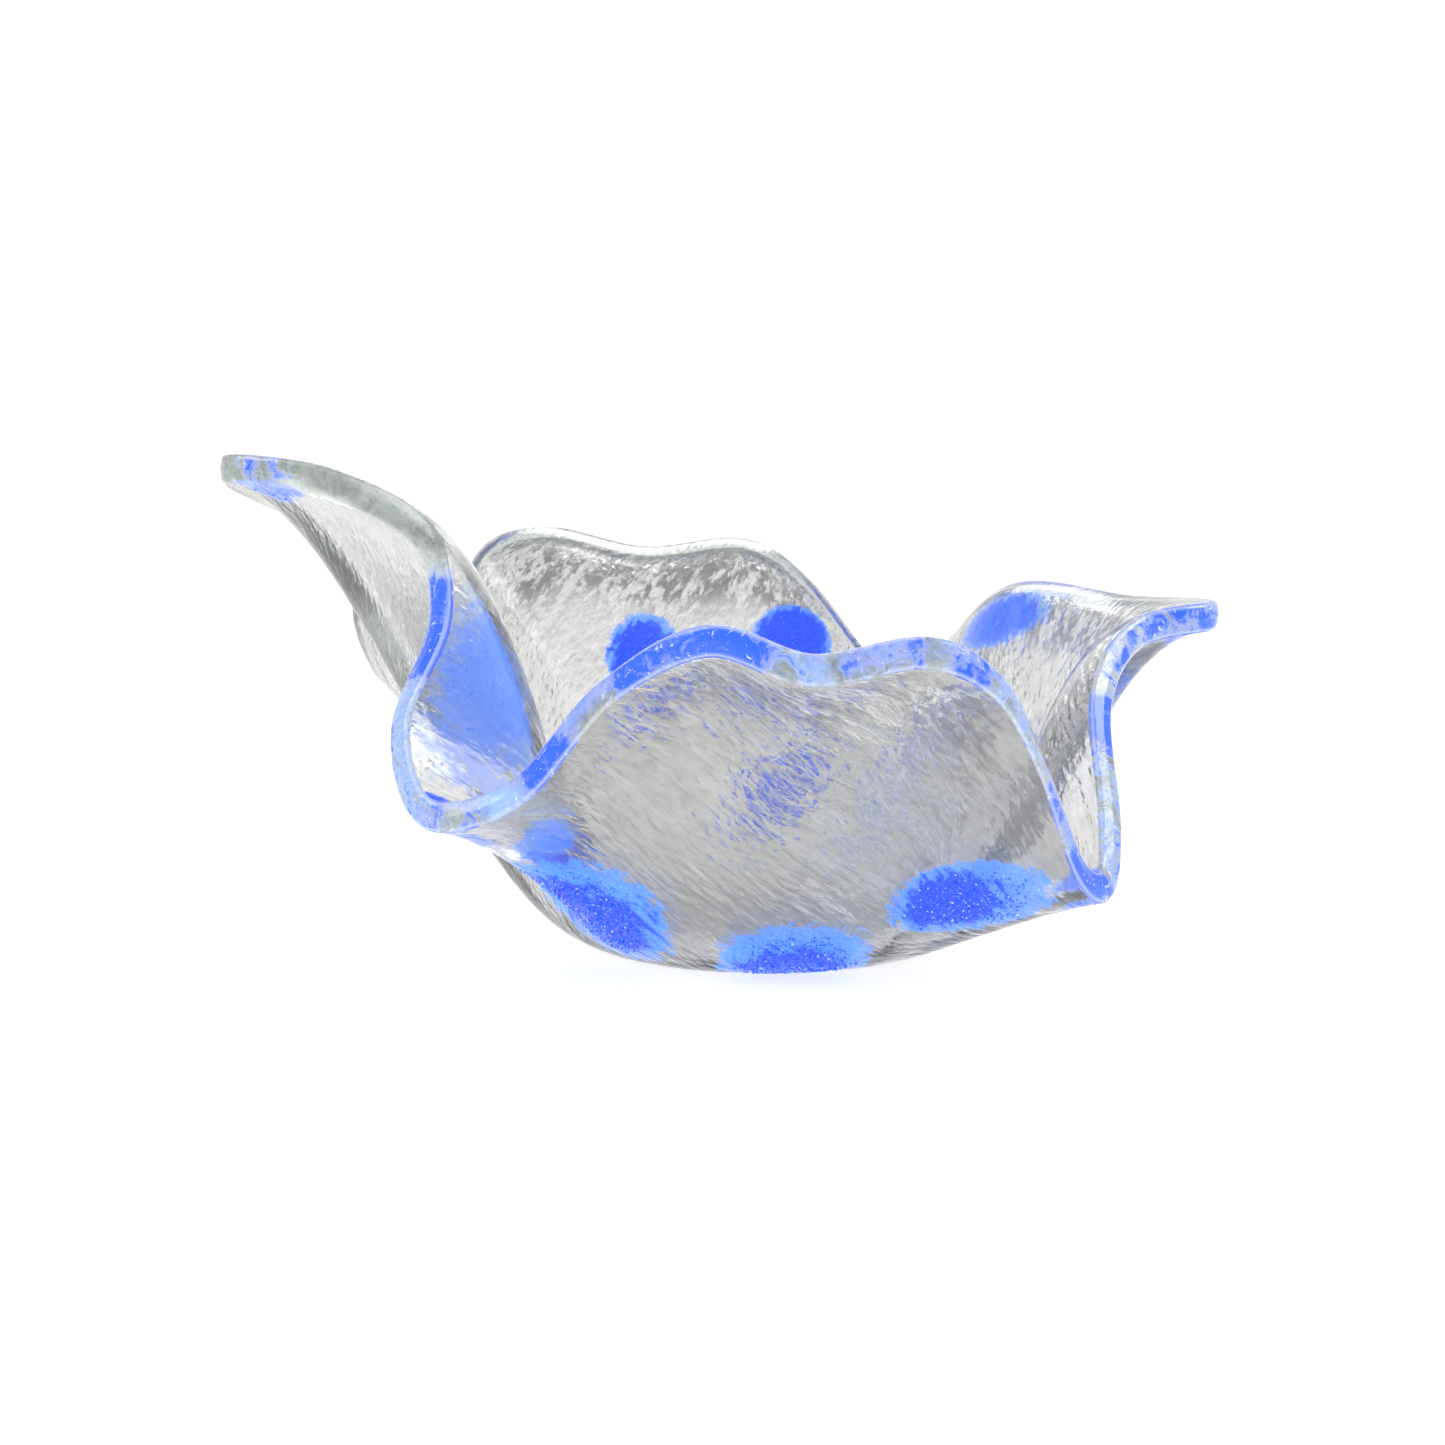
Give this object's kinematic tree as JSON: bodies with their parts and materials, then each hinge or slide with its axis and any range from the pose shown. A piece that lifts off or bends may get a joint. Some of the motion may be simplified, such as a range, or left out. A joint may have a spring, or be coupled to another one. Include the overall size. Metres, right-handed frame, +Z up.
{
  "type": "art glass bowl",
  "caption": "Slumped clear glass bowl with a waved handkerchief rim, two fused sheets and blue frit patches melted flush into the outer face.",
  "frame": {"origin": "centre of the flat foot, on the surface that the bowl stands on", "axes": "+Z up out of the bowl's mouth, +X towards the right-hand wing along the bowl's longest spread, +Y towards the back crests"},
  "size_m": [0.2065, 0.1828, 0.103],
  "materials": {
    "clear_glass": "gloss, lightly hammered",
    "blue_frit": "granular melted grains, semi-gloss"
  },
  "bodies": {
    "root": {"outer_sheet": "clear_glass", "inner_sheet": "clear_glass", "frit_front_left_base": "blue_frit", "frit_front_base": "blue_frit", "frit_front_right_base": "blue_frit", "frit_back_wall_left": "blue_frit", "frit_back_wall_middle": "blue_frit", "frit_back_wall_low": "blue_frit", "frit_back_right_fold": "blue_frit", "frit_back_right_low": "blue_frit", "frit_left_wing": "blue_frit", "frit_left_tip": "blue_frit", "frit_left_fold": "blue_frit", "frit_front_left_rim": "blue_frit", "frit_right_wing": "blue_frit", "frit_right_tip": "blue_frit", "frit_front_right_fold": "blue_frit"}
  },
  "joints": []
}
